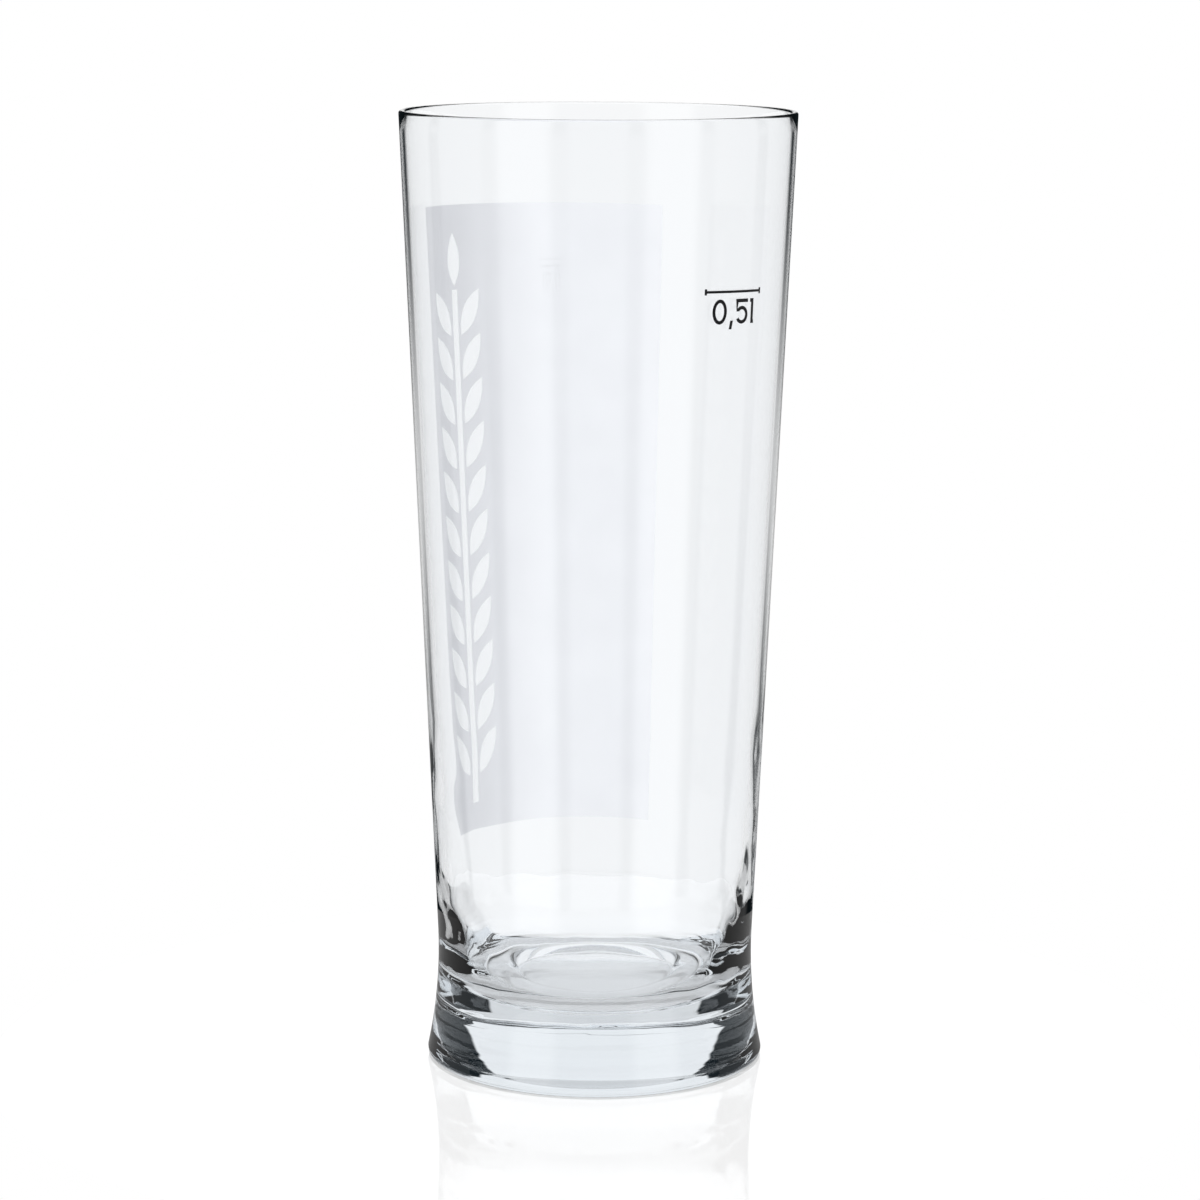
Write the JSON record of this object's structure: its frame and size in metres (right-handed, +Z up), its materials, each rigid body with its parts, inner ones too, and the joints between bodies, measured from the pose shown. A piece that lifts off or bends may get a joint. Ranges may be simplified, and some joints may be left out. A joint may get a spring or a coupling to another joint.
{
  "type": "beer tumbler",
  "caption": "Tall tapering clear beer glass with a heavy base, drawn-in waist and flared foot, with a grey printed panel, a white barley ear and a black fill mark.",
  "frame": {"origin": "centre of the flat ring that the glass stands on", "axes": "+Z up along the glass's axis towards the mouth; -Y is the side that faces the picture's camera, with the fill mark between -Y and +X and the printed panel on the +Y side towards -X"},
  "size_m": [0.08, 0.08, 0.1947],
  "materials": {
    "clear_glass": "clear fire-polished soda-lime glass",
    "grey_enamel": "satin translucent grey enamel, screen printed and fired",
    "white_enamel": "satin opaque white enamel, screen printed and fired",
    "black_enamel": "satin opaque black enamel, screen printed and fired"
  },
  "bodies": {
    "root": {"barley_grain_left_1": "white_enamel", "barley_grain_left_10": "white_enamel", "barley_grain_left_11": "white_enamel", "barley_grain_left_2": "white_enamel", "barley_grain_left_3": "white_enamel", "barley_grain_left_4": "white_enamel", "barley_grain_left_5": "white_enamel", "barley_grain_left_6": "white_enamel", "barley_grain_left_7": "white_enamel", "barley_grain_left_8": "white_enamel", "barley_grain_left_9": "white_enamel", "barley_grain_right_1": "white_enamel", "barley_grain_right_10": "white_enamel", "barley_grain_right_11": "white_enamel", "barley_grain_right_2": "white_enamel", "barley_grain_right_3": "white_enamel", "barley_grain_right_4": "white_enamel", "barley_grain_right_5": "white_enamel", "barley_grain_right_6": "white_enamel", "barley_grain_right_7": "white_enamel", "barley_grain_right_8": "white_enamel", "barley_grain_right_9": "white_enamel", "barley_grain_tip": "white_enamel", "barley_stalk": "white_enamel", "capacity_comma": "black_enamel", "capacity_five": "black_enamel", "capacity_litre": "black_enamel", "capacity_zero": "black_enamel", "fill_line": "black_enamel", "glass_body": "clear_glass", "print_panel": "grey_enamel"}
  },
  "joints": []
}
